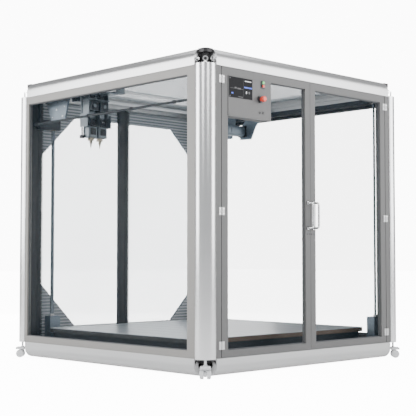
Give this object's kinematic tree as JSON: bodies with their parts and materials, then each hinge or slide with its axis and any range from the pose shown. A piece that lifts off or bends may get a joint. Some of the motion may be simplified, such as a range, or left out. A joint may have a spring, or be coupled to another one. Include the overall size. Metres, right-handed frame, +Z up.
{
  "type": "fdm printer",
  "caption": "Large enclosed filament printer: aluminium frame on castors, glazed double doors with a control panel, fixed bed, lifting gantry and print head.",
  "frame": {"origin": "on the floor under the middle of the bounding box", "axes": "+X to the right seen from the doors, -Y out of the doors, +Z up"},
  "size_m": [1.7284, 1.7647, 1.725],
  "materials": {
    "satin_aluminium": "satin anodised extrusion",
    "black_casting": "matt black",
    "plain_steel": "ground steel",
    "door_grey": "grey anodised",
    "clear_pane": "clear",
    "ribbed_grey": "ribbed sheet",
    "roof_grey": "satin sheet",
    "black_steel": "black anodised",
    "brown_board": "sealed board",
    "bed_film": "satin film",
    "hinge_steel": "brushed",
    "bright_chrome": "polished",
    "panel_grey": "grey anodised",
    "screen_black": "gloss",
    "black_plastic": "fine texture",
    "button_green": "gloss",
    "button_red": "gloss",
    "collar_black": "fine texture",
    "castor_grey": "fine texture",
    "castor_black": "matt tread",
    "blue_grey": "blue-grey anodised",
    "shaft_black": "black oxide",
    "head_metal": "anodised plate",
    "brass": "machined"
  },
  "bodies": {
    "frame": {"beam_bottom_front": "satin_aluminium", "beam_bottom_left": "satin_aluminium", "beam_bottom_rear": "satin_aluminium", "beam_bottom_right": "satin_aluminium", "beam_top_front": "satin_aluminium", "beam_top_left": "satin_aluminium", "beam_top_rear": "satin_aluminium", "beam_top_right": "satin_aluminium", "bed_base": "black_steel", "bed_board": "brown_board", "bed_sheet": "bed_film", "cable_columns": "black_plastic", "corner_connectors": "black_casting", "door_jambs": "door_grey", "hinge_leaves_fixed": "hinge_steel", "hinge_pins": "hinge_steel", "lifting_eyes": "plain_steel", "post_front_left": "satin_aluminium", "post_front_right": "satin_aluminium", "post_rear_left": "satin_aluminium", "post_rear_right": "satin_aluminium", "power_inlet": "black_plastic", "rear_panel": "ribbed_grey", "rear_window": "clear_pane", "roof_panel": "roof_grey", "window_frame_left": "door_grey", "window_frame_right": "door_grey", "window_pane_left": "clear_pane", "window_pane_right": "clear_pane", "z_foot_boxes": "blue_grey", "z_rods": "plain_steel"},
    "door_left": {"door_frame_left": "door_grey", "door_glass_left": "clear_pane", "hinge_leaves_left": "hinge_steel", "door_handle_left": "bright_chrome", "panel_housing": "panel_grey", "touchscreen": "screen_black", "button_bezel": "black_plastic", "estop_collar": "collar_black"},
    "door_right": {"door_frame_right": "door_grey", "door_glass_right": "clear_pane", "hinge_leaves_right": "hinge_steel", "door_handle_right": "bright_chrome"},
    "green_button": {"green_button": "button_green"},
    "red_button": {"red_button": "button_red"},
    "estop": {"estop_head": "button_red"},
    "gantry": {"gantry_frame": "black_steel"},
    "sync_shaft": {"sync_shaft": "shaft_black"},
    "bridge": {"bridge_plates": "blue_grey", "bridge_tubes": "bright_chrome"},
    "head": {"head_carriage": "head_metal", "hot_ends": "brass"},
    "castor_front_left": {"castor_fork_front_left": "castor_grey"},
    "wheels_front_left": {"castor_wheels_front_left": "castor_black"},
    "castor_front_right": {"castor_fork_front_right": "castor_grey"},
    "wheels_front_right": {"castor_wheels_front_right": "castor_black"},
    "castor_rear_left": {"castor_fork_rear_left": "castor_grey"},
    "wheels_rear_left": {"castor_wheels_rear_left": "castor_black"},
    "castor_rear_right": {"castor_fork_rear_right": "castor_grey"},
    "wheels_rear_right": {"castor_wheels_rear_right": "castor_black"}
  },
  "joints": [
    {"name": "door_left_hinge", "type": "hinge", "parent": "frame", "child": "door_left", "pos_m": [-0.7205, -0.83835, 0.865], "axis": [0, 0, -1], "range_deg": [0, 110]},
    {"name": "door_right_hinge", "type": "hinge", "parent": "frame", "child": "door_right", "pos_m": [0.7205, -0.83835, 0.865], "axis": [0, 0, 1], "range_deg": [0, 110]},
    {"name": "green_press", "type": "slide", "parent": "door_left", "child": "green_button", "axis": [0, 1, 0], "range_m": [0, 0.003], "stiffness_N_per_m": 400},
    {"name": "red_press", "type": "slide", "parent": "door_left", "child": "red_button", "axis": [0, 1, 0], "range_m": [0, 0.003], "stiffness_N_per_m": 400},
    {"name": "estop_press", "type": "slide", "parent": "door_left", "child": "estop", "axis": [0, 1, 0], "range_m": [0, 0.005]},
    {"name": "z_lift", "type": "slide", "parent": "frame", "child": "gantry", "axis": [0, 0, 1], "range_m": [-1.09, 0]},
    {"name": "sync_spin", "type": "hinge", "parent": "gantry", "child": "sync_shaft", "pos_m": [-0.79, 0.01165, 1.464], "axis": [0, 1, 0], "range_deg": [-5220, 10]},
    {"name": "y_travel", "type": "slide", "parent": "gantry", "child": "bridge", "axis": [0, 1, 0], "range_m": [-0.86, 0.035]},
    {"name": "x_travel", "type": "slide", "parent": "bridge", "child": "head", "axis": [1, 0, 0], "range_m": [0, 1.02]},
    {"name": "swivel_front_left", "type": "hinge", "parent": "frame", "child": "castor_front_left", "pos_m": [-0.8175, -0.81235, 0.08], "axis": [0, 0, 1], "continuous": true},
    {"name": "roll_front_left", "type": "hinge", "parent": "castor_front_left", "child": "wheels_front_left", "pos_m": [-0.82599, -0.82084, 0.025], "axis": [0.7071, -0.7071, 0], "continuous": true},
    {"name": "swivel_front_right", "type": "hinge", "parent": "frame", "child": "castor_front_right", "pos_m": [0.8175, -0.81235, 0.08], "axis": [0, 0, 1], "continuous": true},
    {"name": "roll_front_right", "type": "hinge", "parent": "castor_front_right", "child": "wheels_front_right", "pos_m": [0.82599, -0.82084, 0.025], "axis": [0.7071, 0.7071, 0], "continuous": true},
    {"name": "swivel_rear_left", "type": "hinge", "parent": "frame", "child": "castor_rear_left", "pos_m": [-0.8175, 0.83565, 0.08], "axis": [0, 0, 1], "continuous": true},
    {"name": "roll_rear_left", "type": "hinge", "parent": "castor_rear_left", "child": "wheels_rear_left", "pos_m": [-0.82599, 0.84414, 0.025], "axis": [-0.7071, -0.7071, 0], "continuous": true},
    {"name": "swivel_rear_right", "type": "hinge", "parent": "frame", "child": "castor_rear_right", "pos_m": [0.8175, 0.83565, 0.08], "axis": [0, 0, 1], "continuous": true},
    {"name": "roll_rear_right", "type": "hinge", "parent": "castor_rear_right", "child": "wheels_rear_right", "pos_m": [0.82599, 0.84414, 0.025], "axis": [-0.7071, 0.7071, 0], "continuous": true}
  ],
  "couplings": [
    {"joint": "sync_spin", "follows": "z_lift", "rad_per_m": 83.333}
  ]
}
